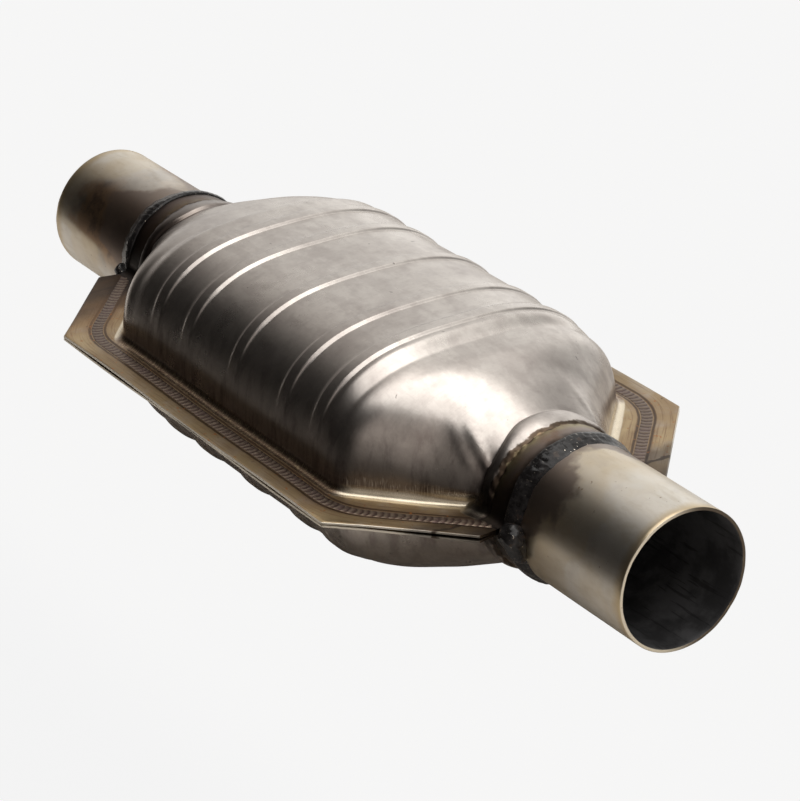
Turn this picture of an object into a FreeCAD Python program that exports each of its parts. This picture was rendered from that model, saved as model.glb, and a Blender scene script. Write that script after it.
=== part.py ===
"""Catalytic converter: two pressed oval shells seam-welded round a flange, a pipe stub in each end.

X runs along the pipes from inlet (-X) to outlet (+X), Z is up and the flanges meet at Z = 0.
The origin is the middle of the pipe axis. All sizes are in millimetres.
"""
import FreeCAD, Part
import Sketcher
import math
import os

Vector = FreeCAD.Vector
Placement = FreeCAD.Placement
Rotation = FreeCAD.Rotation

# Driving sizes: alias, value and what it measures
SIZES = [
    ("sheet_wall", 1.3, "thickness of the pressed shell sheet"),
    ("can_half_width", 73.0, "can wall from the middle plane, above the bend"),
    ("can_half_height", 52.8, "crown of the can above the joint, between the beads"),
    ("can_squareness", 2.75, "exponent of the oval section: 2 is an ellipse"),
    ("cone_slope", 0.927, "fall in width for each millimetre along the cone, seen from above"),
    ("cone_corner", 5.0, "blend length of the corner between can and cone, seen from above"),
    ("plan_corner_lead", 2.6, "corner between can and cone, seen from above, before the crown starts to fall"),
    ("cone_fullness", 1.45, "how late the cone's crown falls away: 1 is straight"),
    ("shoulder_drop", 3.8, "step down of the crown near each end of the can"),
    ("shoulder_run", 10.0, "length of that step"),
    ("shoulder_band", 8.5, "level band between the step's foot and the cone"),
    ("band_drop", 1.0, "fall of the crown along that band"),
    ("bead_height", 1.7, "height of the stiffening beads"),
    ("bead_half_width", 5.0, "half the width of a bead at its foot"),
    ("bead_inner_pitch", 41.5, "middle bead to its neighbours"),
    ("bead_outer_pitch", 27.0, "outer beads to their neighbours"),
    ("bead_shift", 4.0, "middle bead from the middle of the can"),
    ("bead_fade_low", 14.0, "height above the joint where the beads have died out"),
    ("bead_fade_high", 40.0, "height above the joint where the beads are full"),
    ("bend_radius", 4.0, "outer radius of the bend from wall to flange"),
    ("neck_bend_radius", 5.0, "the same bend beside the necks"),
    ("flange_side_width", 16.5, "flat flange outside the bend along the long sides"),
    ("flange_corner_offset", 18.4, "flange corner past the can's own corner, along the can"),
    ("flange_tip_reach", 2.5, "flange tip past the end of the neck"),
    ("flange_tip_width", 14.8, "flange tip out from the neck"),
    ("seam_offset", 2.0, "wall bend to the near edge of the rolled seam"),
    ("seam_corner_offset", 11.6, "seam's corner past the can's own corner, along the can"),
    ("seam_width", 6.5, "width of the rolled seam"),
    ("seam_depth", 0.25, "depth that the seam wheels press into each sheet"),
    ("seam_corner_radius", 38.0, "radius of the seam's middle line at the flange corners"),
    ("pipe_outer_radius", 31.75, "outside radius of both pipe stubs"),
    ("pipe_wall", 1.5, "wall of the pipe stubs"),
    ("pipe_free_length", 76.95, "pipe that stands out of each neck"),
    ("pipe_insert_length", 19.0, "pipe inside each neck"),
    ("pipe_edge_chamfer", 0.3, "broken edge of the cut pipe end"),
    ("neck_clearance", 0.15, "gap between pipe and neck"),
    ("neck_length", 11.0, "plain neck that grips the pipe"),
    ("collar_height", 2.2, "raised collar above the plain neck"),
    ("collar_length", 9.0, "length of the raised collar"),
    ("collar_ramp", 2.5, "length of the collar's slopes"),
    ("waist_height", 1.0, "narrowest place between cone and collar, above the plain neck"),
    ("ring_weld_length", 8.5, "leg of the ring weld along the pipe"),
    ("ring_weld_crown", 1.6, "top of the ring weld above the plain neck"),
    ("corner_weld_radius", 5.5, "radius of a corner weld's top and bottom"),
    ("corner_weld_height", 9.0, "half height of the corner welds"),
    ("corner_weld_back", 4.0, "corner weld back over the neck"),
    ("corner_weld_reach", 6.5, "corner weld past the end of the neck"),
    ("corner_weld_clearance", 0.15, "gap between a corner weld and the round of the neck"),
    ("corner_weld_offset", 4.0, "middle of a corner weld out from the neck"),
    ("brick_gap", 8.0, "open gap between the two bricks"),
    ("brick_length", 80.0, "length of each brick"),
    ("brick_end_reach", 5.3, "outer end of each brick past the outer seal"),
    ("oval_corner_share", 0.58, "corner radius that bricks and mats follow, per half height of the can"),
    ("mat_thickness", 4.6, "mat between brick and shell"),
    ("mat_clearance", 0.5, "fitting gap on each face of mats and seals"),
    ("cell_pitch", 14.0, "spacing of the channels, many real cells to each"),
    ("cell_web", 1.6, "web left between the channels"),
    ("seal_length", 7.0, "length of each wire seal"),
    ("seal_setback", 1.0, "inner seal back from the brick's inner face"),
    ("shoulder_clearance", 0.3, "outer seal short of the shoulder that holds it"),
    ("crown_hollow", 0.35, "middle line of the crown below its natural height, so the can stands steady"),
    ("crown_hollow_turn", 2.0, "degrees from upright at which the crown's hollow ends"),
]

# Drawing settings, not sizes of the object
SECTION_POINTS = 13
CONE_STEPS = 3
BEAD_SHARES = (-1.0, -0.4, 0.4, 1.0)
SLOPE_STEP = 0.05


def make_sheet(doc):
    """Writes every driving size to the spreadsheet under its own alias."""
    sheet = doc.addObject("Spreadsheet::Sheet", "Sizes")
    for row, (alias, value, note) in enumerate(SIZES, start=1):
        sheet.set(f"A{row}", note)
        sheet.set(f"B{row}", str(value))
        sheet.setAlias(f"B{row}", alias)
    doc.recompute()
    return sheet


def blend(value, low, high):
    """Smooth step from 0 at low to 1 at high."""
    share = min(max((value - low) / (high - low), 0.0), 1.0)
    return share * share * (3.0 - 2.0 * share)


class Can:
    """The outer form of the pressed halves: width, height and squareness at each place along X."""

    def __init__(self, sheet):
        for alias, _value, _note in SIZES:
            setattr(self, alias, float(getattr(sheet, alias)))
        self.neck_radius = self.pipe_outer_radius + self.neck_clearance + self.sheet_wall
        self.waist_radius = self.neck_radius + self.waist_height
        seal_end = self.brick_gap / 2.0 + self.brick_length - self.brick_end_reach
        self.shoulder_top = seal_end + self.shoulder_clearance
        self.shoulder_foot = self.shoulder_top + self.shoulder_run
        self.cone_crown_x = self.shoulder_foot + self.shoulder_band
        self.can_half_length = self.cone_crown_x - self.plan_corner_lead
        self.collar_radius = self.neck_radius + self.collar_height
        self.waist_x = self.can_half_length + (self.can_half_width - self.waist_radius) / self.cone_slope
        self.collar_start = self.waist_x + self.collar_ramp
        self.collar_end = self.collar_start + self.collar_length
        self.neck_start = self.collar_end + self.collar_ramp / 2.0
        self.neck_end = self.neck_start + self.neck_length
        self.sleeve_inset = self.sheet_wall + self.mat_clearance
        self.brick_inset = self.sleeve_inset + self.mat_thickness + self.mat_clearance
        inner = self.bead_inner_pitch
        outer = self.bead_inner_pitch + self.bead_outer_pitch
        self.bead_places = [self.bead_shift + reach for reach in (-outer, -inner, 0.0, inner, outer)]

    def half_width(self, reach):
        """Half width of the can wall at a distance from its middle, with a rounded plan corner."""
        straight = self.can_half_width
        taper = straight - (reach - self.can_half_length) * self.cone_slope
        share = min(max(0.5 + 0.5 * (taper - straight) / self.cone_corner, 0.0), 1.0)
        return taper * (1.0 - share) + straight * share - self.cone_corner * share * (1.0 - share)

    def crown(self, reach):
        """Crown height without beads: level, step down, band, then the falling cone."""
        step = self.shoulder_drop * blend(reach, self.shoulder_top, self.shoulder_foot)
        band_share = (reach - self.shoulder_foot) / self.shoulder_band
        band = self.band_drop * min(max(band_share, 0.0), 1.0)
        cone_share = (reach - self.cone_crown_x) / (self.waist_x - self.cone_crown_x)
        cone_share = min(max(cone_share, 0.0), 1.0)
        cone_top = self.can_half_height - self.shoulder_drop - self.band_drop
        fall = (cone_top - self.waist_radius) * cone_share ** self.cone_fullness
        return self.can_half_height - step - band - fall

    def neck(self, reach):
        """Radius of the waist, the collar and the plain neck."""
        if reach <= self.collar_end:
            rise = blend(reach, self.waist_x, self.collar_start)
            return self.waist_radius + (self.collar_radius - self.waist_radius) * rise
        fall = blend(reach, self.collar_end, self.neck_start)
        return self.collar_radius + (self.neck_radius - self.collar_radius) * fall

    def bead(self, place):
        """Bead height at a place along X."""
        height = 0.0
        for centre in self.bead_places:
            share = abs(place - centre) / self.bead_half_width
            if share < 1.0:
                height = max(height, self.bead_height * math.cos(math.pi / 2.0 * share))
        return height

    def section(self, place):
        """Half width, half height and squareness of the outer oval at a place along X."""
        reach = abs(place)
        if reach >= self.waist_x:
            radius = self.neck(reach)
            return radius, radius, 2.0
        width = max(self.half_width(reach), self.waist_radius)
        square = self.can_squareness
        square += (2.0 - square) * blend(reach, self.shoulder_foot, self.waist_x)
        return width, self.crown(reach), square

    def oval_point(self, width, height, square, turn):
        """Point (y, z) of a squarish oval where it faces the given way."""
        across = (width * abs(math.cos(turn))) ** (1.0 / (square - 1.0))
        up = (height * math.sin(turn)) ** (1.0 / (square - 1.0))
        size = (across ** square + up ** square) ** (1.0 / square)
        return math.copysign(width * across / size, math.cos(turn)), height * up / size

    def outer_point(self, place, turn):
        """Point (y, z) of the outer surface, with the beads dying out downwards."""
        width, height, square = self.section(place)
        y, z = self.oval_point(width, height, square, turn)
        rise = self.bead(place) * blend(z, self.bead_fade_low, self.bead_fade_high)
        return y * (1.0 + rise / width), z * (1.0 + rise / height) - self.hollow(place, turn)

    def hollow(self, place, turn):
        """Depth of the shallow hollow along the middle of the can's crown."""
        off_middle = abs(math.degrees(turn) - 90.0) / self.crown_hollow_turn
        fade = 1.0 - blend(abs(place), self.shoulder_top, self.shoulder_foot)
        return self.crown_hollow * fade * max(1.0 - off_middle, 0.0)

    def inner_point(self, place, turn):
        """Point (y, z) one sheet thickness inside, measured square to the sloping surface."""
        facing = (math.cos(turn), math.sin(turn))
        y, z = self.outer_point(place, turn)
        y_after, z_after = self.outer_point(place + SLOPE_STEP, turn)
        y_before, z_before = self.outer_point(place - SLOPE_STEP, turn)
        rise = (y_after - y_before) * facing[0] + (z_after - z_before) * facing[1]
        depth = self.sheet_wall * math.hypot(1.0, rise / (2.0 * SLOPE_STEP))
        return y - depth * facing[0], z - depth * facing[1]

    def bend(self, place):
        """Outer radius of the bend between wall and flange."""
        share = blend(abs(place), self.can_half_length, self.waist_x)
        return self.bend_radius + (self.neck_bend_radius - self.bend_radius) * share

    def lowest_turn(self, place):
        """The way the oval faces where its wall meets the bend."""
        width, height, square = self.section(place)
        up = (self.sheet_wall + self.bend(place)) / height
        across = (1.0 - up ** square) ** (1.0 / square)
        return math.atan2(up ** (square - 1.0) / height, across ** (square - 1.0) / width)

    def mouth(self, place):
        """Half width of the shell's open mouth, where the bend runs out into the flange."""
        y, _z = self.outer_point(place, self.lowest_turn(place))
        return y + self.bend(place)

    def stations(self):
        """Places along X where the form changes, so that each gets a section."""
        one_side = [self.shoulder_top, self.shoulder_foot, self.cone_crown_x]
        cone_step = (self.waist_x - self.can_half_length) / CONE_STEPS
        one_side += [self.can_half_length + cone_step * count for count in range(CONE_STEPS + 1)]
        one_side += [self.collar_start, self.collar_end, self.neck_start, self.neck_end]
        places = [side * reach for reach in one_side for side in (-1.0, 1.0)]
        for centre in self.bead_places:
            places += [centre + share * self.bead_half_width for share in BEAD_SHARES]
        return sorted(places)


def curve_through(points):
    """Smooth edge through the given points."""
    curve = Part.BSplineCurve()
    curve.interpolate(points)
    return curve.toShape()


def quarter_bend(start, end):
    """Quarter bend that leaves start level and reaches end upright."""
    half = math.sqrt(0.5)
    y = end.y + (start.y - end.y) * (1.0 - half)
    z = start.z + (end.z - start.z) * (1.0 - half)
    return Part.Arc(start, Vector(start.x, y, z), end).toShape()


def sheet_section(can, place):
    """Closed section of the upper sheet at one place: outer skin, inner skin and both lips."""
    low = can.lowest_turn(place)
    step = (math.pi - 2.0 * low) / (SECTION_POINTS - 1)
    turns = [low + step * count for count in range(SECTION_POINTS)]
    turns += [math.radians(90.0 + side * can.crown_hollow_turn) for side in (-1.0, 1.0)]
    turns.sort()
    outer = [Vector(place, *can.outer_point(place, turn)) for turn in turns]
    inner = [Vector(place, *can.inner_point(place, turn)) for turn in turns]
    inner[0].z = outer[0].z
    inner[-1].z = outer[-1].z
    mouth = can.mouth(place)
    left_low = Vector(place, mouth, 0.0)
    left_high = Vector(place, mouth, can.sheet_wall)
    right_low = Vector(place, -mouth, 0.0)
    right_high = Vector(place, -mouth, can.sheet_wall)
    edges = [
        Part.makeLine(left_low, left_high),
        quarter_bend(left_high, outer[0]),
        curve_through(outer),
        quarter_bend(right_high, outer[-1]),
        Part.makeLine(right_high, right_low),
        quarter_bend(right_low, inner[-1]),
        curve_through(inner[::-1]),
        quarter_bend(left_low, inner[0]),
    ]
    return Part.Wire(edges)


def pressed_skin(can):
    """The can with its beads, the cones and the half necks of the upper shell."""
    wires = [sheet_section(can, place) for place in can.stations()]
    return Part.makeLoft(wires, True, True)


def flange_half(can, side):
    """Flat flange on one side of the upper shell, from the bend out to the trimmed edge."""
    tip_x = can.neck_end + can.flange_tip_reach
    tip_y = can.neck_radius + can.flange_tip_width
    corner_x = can.can_half_length + can.flange_corner_offset
    corner_y = can.can_half_width + can.bend_radius + can.flange_side_width
    points = [Vector(place, side * can.mouth(place), 0.0) for place in can.stations()]
    for x, y in ((tip_x, tip_y), (corner_x, corner_y), (-corner_x, corner_y), (-tip_x, tip_y)):
        points.append(Vector(x, side * y, 0.0))
    plate = Part.Face(Part.makePolygon(points + [points[0]]))
    return plate.extrude(Vector(0.0, 0.0, can.sheet_wall))


def seam_line(can, side, offset):
    """One edge of the rolled seam: straight along the can, an arc, then parallel to the cone."""
    straight_y = can.can_half_width + can.bend_radius + can.seam_offset + can.seam_width / 2.0
    turn = math.atan(can.cone_slope)
    reach = can.seam_corner_radius * math.tan(turn / 2.0)
    corner_x = can.can_half_length + can.seam_corner_offset
    centre = Vector(corner_x - reach, straight_y - can.seam_corner_radius, 0.0)
    radius = can.seam_corner_radius + offset
    start = centre + Vector(0.0, radius, 0.0)
    middle = centre + Vector(radius * math.sin(turn / 2.0), radius * math.cos(turn / 2.0), 0.0)
    finish = centre + Vector(radius * math.sin(turn), radius * math.cos(turn), 0.0)
    run = (can.neck_end - finish.x) / math.cos(turn)
    tip = finish + Vector(run * math.cos(turn), -run * math.sin(turn), 0.0)
    half = [start, middle, finish, tip]
    return [Vector(point.x, side * point.y, 0.0) for point in half]


def rolled_seam(can, side):
    """Shallow track that the seam wheels leave in the flange, as a tool to cut with."""
    outer = seam_line(can, side, can.seam_width / 2.0)
    inner = seam_line(can, side, -can.seam_width / 2.0)

    def mirrored(point):
        return Vector(-point.x, point.y, 0.0)

    def border(line):
        start, middle, finish, tip = line
        return [
            Part.makeLine(mirrored(tip), mirrored(finish)),
            Part.Arc(mirrored(finish), mirrored(middle), mirrored(start)).toShape(),
            Part.makeLine(mirrored(start), start),
            Part.Arc(start, middle, finish).toShape(),
            Part.makeLine(finish, tip),
        ]

    ends = [Part.makeLine(outer[3], inner[3]), Part.makeLine(mirrored(inner[3]), mirrored(outer[3]))]
    face = Part.Face(Part.Wire(Part.__sortEdges__(border(outer) + border(inner) + ends)))
    face.translate(Vector(0.0, 0.0, can.sheet_wall - can.seam_depth))
    return face.extrude(Vector(0.0, 0.0, can.seam_depth * 2.0))


def add_shells(doc, can):
    """Upper pressed half, and the lower half as its mirror image."""
    skin = pressed_skin(can)
    flanges = [flange_half(can, side) for side in (1.0, -1.0)]
    seams = [rolled_seam(can, side) for side in (1.0, -1.0)]
    trimmed = [flange.cut(seam) for flange, seam in zip(flanges, seams)]
    upper = doc.addObject("Part::Feature", "upper_shell")
    upper.Shape = skin.fuse(trimmed).removeSplitter()
    upper.Placement = Placement()
    lower = doc.addObject("Part::Mirroring", "lower_shell")
    lower.Source = upper
    lower.Normal = Vector(0.0, 0.0, 1.0)
    return [upper, lower]


def on_pipe_axis(direction, start):
    """Placement that lays a piece along the pipe axis, from start outwards at one end."""
    turn = Rotation(Vector(0.0, 1.0, 0.0), direction * 90.0)
    return Placement(Vector(direction * start, 0.0, 0.0), turn)


def origin_plane(body, role):
    """One of the body's own origin planes."""
    for feature in body.Origin.OriginFeatures:
        if feature.Role == role:
            return feature
    raise ValueError(role)


def add_body(doc, label, role):
    """Body with a first sketch on one of its origin planes."""
    body = doc.addObject("PartDesign::Body", label)
    sketch = body.newObject("Sketcher::SketchObject", label + "_profile")
    sketch.AttachmentSupport = (origin_plane(body, role), [""])
    sketch.MapMode = "FlatFace"
    return body, sketch


def add_driven_sizes(sketch, rules):
    """Distances between sketch points, each bound to the spreadsheet by its rule."""
    for name, kind, first, first_end, second, second_end, rule in rules:
        constraint = Sketcher.Constraint(kind, first, first_end, second, second_end, 1.0)
        sketch.renameConstraint(sketch.addConstraint(constraint), name)
        sketch.setExpression(f"Constraints.{name}", rule)


def add_pipe(doc, can, label, direction):
    """Pipe stub: a ring pad with both cut edges broken, its open end outwards."""
    body, sketch = add_body(doc, label, "XY_Plane")
    radii = (("outer", "Sizes.pipe_outer_radius"), ("inner", "Sizes.pipe_outer_radius - Sizes.pipe_wall"))
    for name, rule in radii:
        circle = Part.Circle(Vector(), Vector(0.0, 0.0, 1.0), can.pipe_outer_radius)
        index = sketch.addGeometry(circle, False)
        sketch.addConstraint(Sketcher.Constraint("Coincident", index, 3, -1, 1))
        size = sketch.addConstraint(Sketcher.Constraint("Radius", index, can.pipe_outer_radius))
        sketch.renameConstraint(size, name)
        sketch.setExpression(f"Constraints.{name}", rule)
    pad = body.newObject("PartDesign::Pad", label + "_tube")
    pad.Profile = sketch
    pad.setExpression("Length", "Sizes.pipe_free_length + Sizes.pipe_insert_length")
    doc.recompute()
    length = can.pipe_free_length + can.pipe_insert_length
    rims = []
    for number, edge in enumerate(pad.Shape.Edges, start=1):
        if abs(edge.BoundBox.ZMin - length) < SLOPE_STEP:
            rims.append(f"Edge{number}")
    broken = body.newObject("PartDesign::Chamfer", label + "_broken_edge")
    broken.Base = (pad, rims)
    broken.setExpression("Size", "Sizes.pipe_edge_chamfer")
    body.Tip = broken
    body.Placement = on_pipe_axis(direction, can.neck_end - can.pipe_insert_length)
    return body


def add_ring_weld(doc, can, label, direction):
    """Ring weld, a fillet from the neck's end face down to the pipe."""
    body, sketch = add_body(doc, label, "XZ_Plane")
    pipe = can.pipe_outer_radius
    crown = can.neck_radius + can.ring_weld_crown
    corners = [
        Vector(0.0, pipe, 0.0),
        Vector(can.ring_weld_length, pipe, 0.0),
        Vector(0.0, crown, 0.0),
    ]
    for number, corner in enumerate(corners):
        sketch.addGeometry(Part.LineSegment(corner, corners[(number + 1) % len(corners)]), False)
    for number in range(len(corners)):
        sketch.addConstraint(Sketcher.Constraint("Coincident", number, 2, (number + 1) % len(corners), 1))
    sketch.addConstraint(Sketcher.Constraint("Horizontal", 0))
    sketch.addConstraint(Sketcher.Constraint("Vertical", 2))
    sketch.addConstraint(Sketcher.Constraint("PointOnObject", 0, 1, -2))
    rise = "Sizes.neck_clearance + Sizes.sheet_wall + Sizes.ring_weld_crown"
    rules = [
        ("root", "DistanceY", -1, 1, 0, 1, "Sizes.pipe_outer_radius"),
        ("leg", "DistanceX", 0, 1, 0, 2, "Sizes.ring_weld_length"),
        ("rise", "DistanceY", 2, 2, 2, 1, rise),
    ]
    add_driven_sizes(sketch, rules)
    ring = body.newObject("PartDesign::Revolution", label + "_ring")
    ring.Profile = sketch
    ring.ReferenceAxis = (sketch, ["H_Axis"])
    ring.Angle = 360.0
    body.Tip = ring
    turn = 0.0 if direction > 0.0 else 180.0
    body.Placement = Placement(Vector(direction * can.neck_end, 0.0, 0.0), Rotation(Vector(0, 0, 1), turn))
    return body


def drop_face(can, side):
    """Upright long-round section of a corner weld on the YZ plane, beside the neck."""
    radius = can.corner_weld_radius
    straight = can.corner_weld_height - radius
    middle = side * (can.neck_radius + can.corner_weld_offset)

    def point(across, up):
        return Vector(0.0, middle + across * radius, up)

    top = Part.Arc(point(-1.0, straight), point(0.0, straight + radius), point(1.0, straight))
    bottom = Part.Arc(point(1.0, -straight), point(0.0, -straight - radius), point(-1.0, -straight))
    sides = [
        Part.makeLine(point(1.0, straight), point(1.0, -straight)),
        Part.makeLine(point(-1.0, -straight), point(-1.0, straight)),
    ]
    return Part.Face(Part.Wire([top.toShape(), sides[0], bottom.toShape(), sides[1]]))


def add_section(doc, name, face):
    """Flat section on the YZ plane that a piece is drawn out from."""
    section = doc.addObject("Part::Feature", name)
    section.Shape = face
    return section


def add_extrusion(doc, label, section, start, length):
    """Piece drawn out along X from a section, with its start and length as rules."""
    piece = doc.addObject("Part::Extrusion", label)
    piece.Base = section
    piece.DirMode = "Custom"
    piece.Dir = Vector(1.0, 0.0, 0.0)
    piece.Solid = True
    piece.setExpression("LengthFwd", length)
    piece.setExpression("Placement.Base.x", start)
    return piece


def add_neck_room(doc, can, name, direction):
    """Round room that the corner welds leave free for neck and pipe."""
    room = doc.addObject("Part::Cylinder", name)
    neck = "Sizes.pipe_outer_radius + Sizes.neck_clearance + Sizes.sheet_wall"
    room.setExpression("Radius", neck + " + Sizes.corner_weld_clearance")
    room.setExpression("Height", "2 * (Sizes.corner_weld_back + Sizes.corner_weld_reach)")
    room.Placement = on_pipe_axis(direction, can.neck_end - 2.0 * can.corner_weld_back)
    return room


def add_corner_weld(doc, can, label, direction, side, neighbours):
    """Drop of filler in the corner between flange, neck and ring weld, shaped by what it fills."""
    section = add_section(doc, label + "_section", drop_face(can, side))
    behind = "Sizes.corner_weld_back" if direction > 0.0 else "Sizes.corner_weld_reach"
    length = "Sizes.corner_weld_back + Sizes.corner_weld_reach"
    start = f"{direction * can.neck_end} - {behind}"
    weld = add_extrusion(doc, label + "_drop", section, start, length)
    for number, neighbour in enumerate(neighbours, start=1):
        cut = doc.addObject("Part::Cut", f"{label}_cut_{number}")
        cut.Base = weld
        cut.Tool = neighbour
        weld = cut
    weld.Label = label
    return weld


def tangent_centre(reach, corner, across):
    """Centre, on its own axis, of the flat arc that runs tangent into a corner arc."""
    return (reach ** 2 - corner ** 2 - across ** 2) / (2.0 * (reach - corner))


def oval_wire(can, inset):
    """Closed oval of eight tangent arcs on the YZ plane, a distance inside the can's surface."""
    corner_turn = math.pi / 4.0
    full_radius = can.oval_corner_share * can.can_half_height
    y, z = can.oval_point(can.can_half_width, can.can_half_height, can.can_squareness, corner_turn)
    corner_y = y - full_radius * math.cos(corner_turn)
    corner_z = z - full_radius * math.sin(corner_turn)
    radius = full_radius - inset
    half_width = can.can_half_width - inset
    half_height = can.can_half_height - inset
    side_turn = math.atan2(corner_z, corner_y - tangent_centre(half_width - radius, corner_y, corner_z))
    top_turn = math.atan2(corner_z - tangent_centre(half_height - radius, corner_z, corner_y), corner_y)
    quarter = []
    for turn in (side_turn, (side_turn + top_turn) / 2.0, top_turn):
        quarter.append((corner_y + radius * math.cos(turn), corner_z + radius * math.sin(turn)))

    def mapped(number, sign_y, sign_z):
        y, z = quarter[number]
        return Vector(0.0, sign_y * y, sign_z * z)

    edges = []
    for sign in (1.0, -1.0):
        side = Vector(0.0, sign * half_width, 0.0)
        top = Vector(0.0, 0.0, sign * half_height)
        edges.append(Part.Arc(mapped(0, sign, -1.0), side, mapped(0, sign, 1.0)).toShape())
        edges.append(Part.Arc(mapped(2, -1.0, sign), top, mapped(2, 1.0, sign)).toShape())
        for sign_z in (1.0, -1.0):
            corner = [mapped(number, sign, sign_z) for number in range(3)]
            edges.append(Part.Arc(*corner).toShape())
    return Part.Wire(Part.__sortEdges__(edges))


def brick_face(can):
    """Section of a brick: the oval skin with a square grid of open channels."""
    skin = oval_wire(can, can.brick_inset)
    bound = Part.Face(oval_wire(can, can.brick_inset + can.cell_web))
    half_cell = (can.cell_pitch - can.cell_web) / 2.0
    columns = int(can.can_half_width / can.cell_pitch)
    rows = int(can.can_half_height / can.cell_pitch)
    wires = [skin]
    for column in range(-columns, columns + 1):
        for row in range(-rows, rows + 1):
            y = column * can.cell_pitch
            z = row * can.cell_pitch
            square = [(-1, -1), (1, -1), (1, 1), (-1, 1), (-1, -1)]
            corners = [Vector(0.0, y + a * half_cell, z + b * half_cell) for a, b in square]
            if all(bound.isInside(corner, SLOPE_STEP, True) for corner in corners):
                wires.append(Part.makePolygon(corners))
    return Part.Face(wires, "Part::FaceMakerBullseye")


def sleeve_face(can):
    """Section of a mat or seal: the oval band between brick and shell."""
    outer = oval_wire(can, can.sleeve_inset)
    inner = oval_wire(can, can.sleeve_inset + can.mat_thickness)
    return Part.Face([outer, inner], "Part::FaceMakerBullseye")


def add_inner_pieces(doc, can):
    """Bricks, their mats and the wire seals, mirrored about the gap between the bricks."""
    brick = add_section(doc, "brick_section", brick_face(can))
    sleeve = add_section(doc, "sleeve_section", sleeve_face(can))
    inner_end = "(Sizes.brick_gap / 2 + Sizes.seal_setback)"
    outer_end = "(Sizes.brick_gap / 2 + Sizes.brick_length - Sizes.brick_end_reach)"
    mat = f"({outer_end} - {inner_end} - 2 * Sizes.seal_length)"
    seal = "Sizes.seal_length"
    brick_start = "Sizes.brick_gap / 2"
    brick_length = "Sizes.brick_length"
    rules = [
        ("front_brick", brick, f"-{brick_start} - {brick_length}", brick_length),
        ("rear_brick", brick, brick_start, brick_length),
        ("front_mat", sleeve, f"-{inner_end} - {seal} - {mat}", mat),
        ("rear_mat", sleeve, f"{inner_end} + {seal}", mat),
        ("front_mat_inlet_seal", sleeve, f"-{outer_end}", seal),
        ("front_mat_outlet_seal", sleeve, f"-{inner_end} - {seal}", seal),
        ("rear_mat_inlet_seal", sleeve, inner_end, seal),
        ("rear_mat_outlet_seal", sleeve, f"{outer_end} - {seal}", seal),
    ]
    return [add_extrusion(doc, label, section, start, length) for label, section, start, length in rules]


def check(doc, nodes):
    """Stops the build if any object failed or any piece isn't one or more sound solids."""
    for item in doc.Objects:
        if "Invalid" in item.State or "Error" in item.State:
            raise RuntimeError(f"{item.Label} failed: {item.State}")
    for node in nodes:
        if node.Shape.isNull() or not node.Shape.isValid() or not node.Shape.Solids:
            raise RuntimeError(f"{node.Label} has no sound solid")


def main():
    os.makedirs("parts", exist_ok=True)
    doc = FreeCAD.newDocument("Converter")
    sheet = make_sheet(doc)
    can = Can(sheet)
    shells = add_shells(doc, can)
    nodes = list(shells)
    for end, direction in (("inlet", -1.0), ("outlet", 1.0)):
        pipe = add_pipe(doc, can, f"{end}_pipe", direction)
        ring_weld = add_ring_weld(doc, can, f"{end}_ring_weld", direction)
        nodes += [pipe, ring_weld]
        neighbours = [add_neck_room(doc, can, f"{end}_neck_room", direction), ring_weld] + shells
        for hand, side in (("left", 1.0), ("right", -1.0)):
            label = f"{end}_{hand}_corner_weld"
            nodes.append(add_corner_weld(doc, can, label, direction, side, neighbours))
    nodes += add_inner_pieces(doc, can)
    doc.recompute()
    check(doc, nodes)
    for node in nodes:
        node.Shape.exportStep(f"parts/{node.Label}.step")


main()
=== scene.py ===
"""Dresses a pressed-shell catalytic converter: sheet halves, seam, pipe stubs, welds and studio."""
import math

import bpy
import numpy as np
from bpy.props import FloatProperty, FloatVectorProperty, PointerProperty
from mathutils import Matrix, Vector


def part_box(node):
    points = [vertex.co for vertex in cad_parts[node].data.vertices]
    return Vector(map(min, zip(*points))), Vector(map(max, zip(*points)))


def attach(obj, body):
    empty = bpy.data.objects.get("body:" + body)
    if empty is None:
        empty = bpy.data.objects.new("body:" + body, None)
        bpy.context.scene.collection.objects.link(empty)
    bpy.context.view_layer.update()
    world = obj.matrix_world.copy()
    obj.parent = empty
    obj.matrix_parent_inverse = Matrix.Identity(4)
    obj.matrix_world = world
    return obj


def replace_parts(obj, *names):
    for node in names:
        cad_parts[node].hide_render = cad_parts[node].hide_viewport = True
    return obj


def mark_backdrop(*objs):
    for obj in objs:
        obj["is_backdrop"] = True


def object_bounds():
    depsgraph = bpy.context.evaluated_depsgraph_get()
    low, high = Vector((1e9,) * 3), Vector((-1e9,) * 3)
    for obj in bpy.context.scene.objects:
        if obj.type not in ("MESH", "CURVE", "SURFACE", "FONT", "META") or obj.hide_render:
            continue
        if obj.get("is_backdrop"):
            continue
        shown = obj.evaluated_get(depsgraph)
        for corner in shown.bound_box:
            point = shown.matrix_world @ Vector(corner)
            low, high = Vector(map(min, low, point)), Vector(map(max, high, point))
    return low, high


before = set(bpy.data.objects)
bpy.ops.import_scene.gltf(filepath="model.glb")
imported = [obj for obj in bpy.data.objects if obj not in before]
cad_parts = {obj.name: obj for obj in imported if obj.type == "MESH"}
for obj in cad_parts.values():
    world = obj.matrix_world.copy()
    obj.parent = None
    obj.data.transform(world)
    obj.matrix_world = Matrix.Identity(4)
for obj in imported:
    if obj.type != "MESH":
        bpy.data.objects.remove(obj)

bl_info = {
    "name": "Catalytic converter dresser",
    "version": (1, 0, 0),
    "blender": (4, 5, 0),
    "location": "3D View > Sidebar > Converter",
    "description": "Builds the visible shells, seam, pipe stubs and welds of a catalytic converter",
    "category": "Object",
}

MM = 0.001
TAU = 2 * math.pi

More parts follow.
